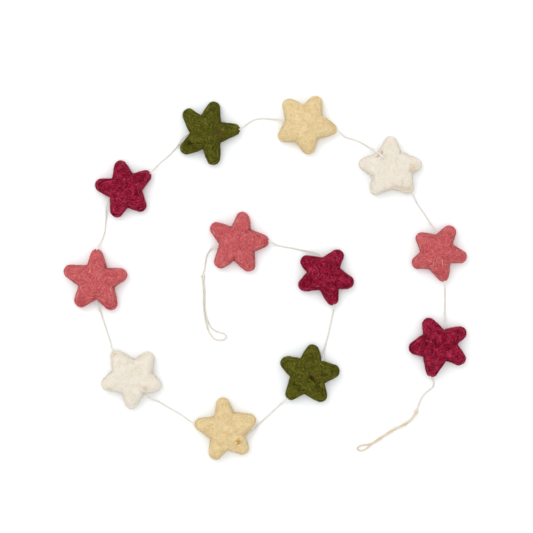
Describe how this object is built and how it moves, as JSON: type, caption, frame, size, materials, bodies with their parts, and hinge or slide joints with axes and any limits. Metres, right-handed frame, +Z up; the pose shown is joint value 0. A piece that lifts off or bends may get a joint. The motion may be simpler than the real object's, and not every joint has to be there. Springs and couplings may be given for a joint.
{
  "type": "felt star garland",
  "caption": "String of plump felted wool stars in five colours on a cotton cord with a knotted loop at each end, lying in a loose spiral.",
  "frame": {"origin": "middle of the stars' footprint on the surface the garland lies on", "axes": "+X to the right and +Y to the back of the spiral as seen from above, +Z up out of the surface"},
  "size_m": [0.4548, 0.4103, 0.0164],
  "materials": {
    "rose_felt": "matted wool felt",
    "berry_felt": "matted wool felt",
    "olive_felt": "matted wool felt",
    "butter_felt": "matted wool felt",
    "cream_felt": "matted wool felt",
    "cotton_string": "plied cotton, matt"
  },
  "bodies": {
    "root": {"star_01": "rose_felt", "star_02": "berry_felt", "star_03": "olive_felt", "star_04": "butter_felt", "star_05": "cream_felt", "star_06": "rose_felt", "star_07": "berry_felt", "star_08": "olive_felt", "star_09": "butter_felt", "star_10": "cream_felt", "star_11": "rose_felt", "star_12": "berry_felt", "string": "cotton_string"}
  },
  "joints": []
}
